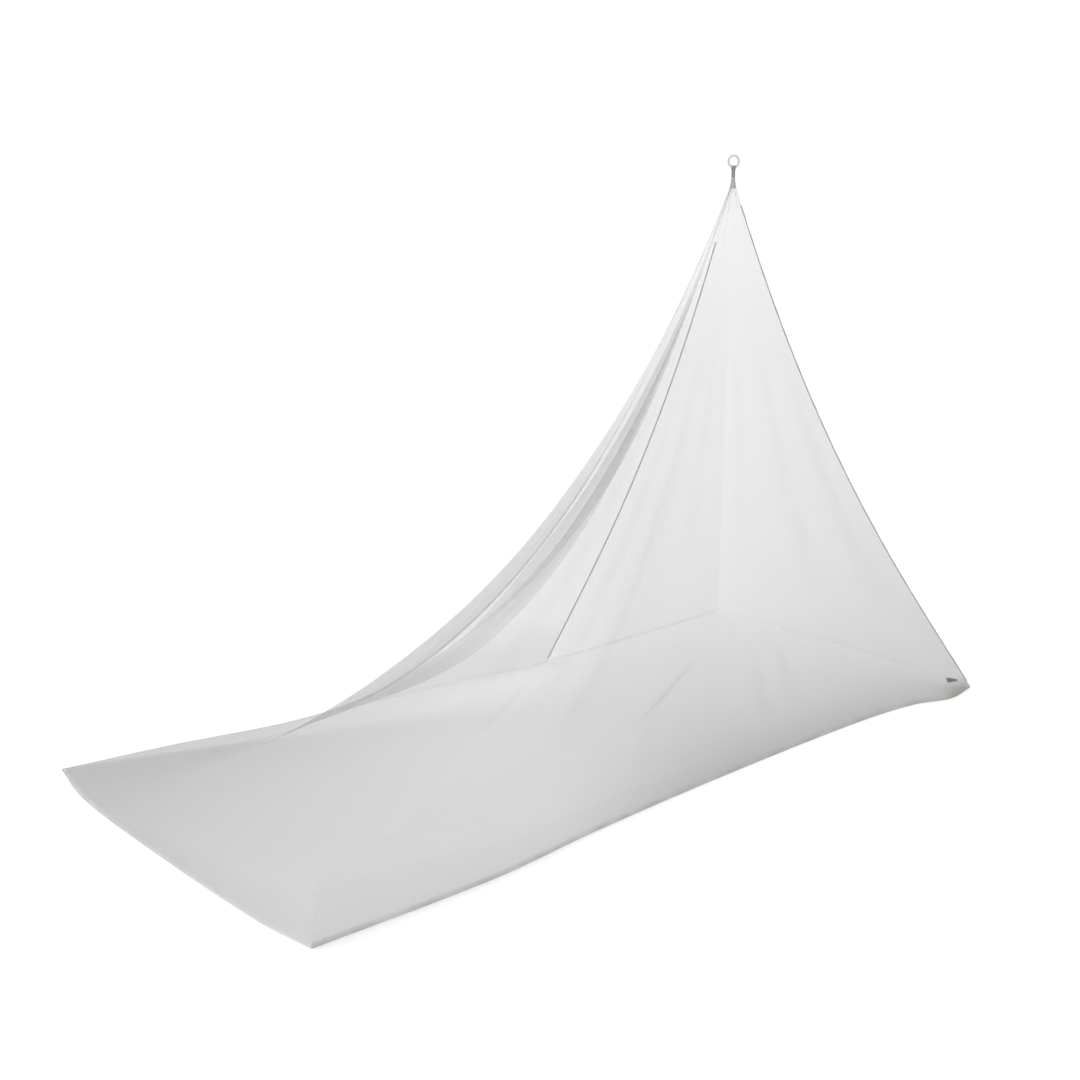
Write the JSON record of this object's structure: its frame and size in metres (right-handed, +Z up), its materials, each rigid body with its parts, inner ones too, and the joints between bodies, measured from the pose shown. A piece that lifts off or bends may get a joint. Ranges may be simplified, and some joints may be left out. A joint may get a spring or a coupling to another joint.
{
  "type": "mosquito net canopy",
  "caption": "Sheer mosquito net for one sleeper, hung from a ring over the head end and spread over the floor, long and low at the foot.",
  "frame": {"origin": "on the floor that the hem lies on, under the middle of the net's box", "axes": "+X along the length, from the foot to the head; +Y across, towards the side with the seam down its middle; +Z up, towards the ring"},
  "size_m": [2.4832, 1.2255, 1.5919],
  "materials": {
    "net": "fine sheer polyester netting, matt, off-white",
    "seam_tape": "narrow grey binding tape, stitched",
    "corner_cloth": "doubled netting, greenish grey",
    "tab": "dark woven tab",
    "neck": "gathered netting, stitched together",
    "webbing": "dark grey webbing",
    "ring": "moulded off-white plastic"
  },
  "bodies": {
    "root": {"foot_panel": "net", "near_side_panel": "net", "head_panel": "net", "far_side_head_panel": "net", "far_side_foot_panel": "net", "far_side_seam_tape": "seam_tape", "head_corner_seam_tape": "seam_tape", "corner_patch": "corner_cloth", "corner_tab": "tab", "gathered_neck": "neck", "hanging_loop": "webbing", "hang_ring": "ring"}
  },
  "joints": []
}
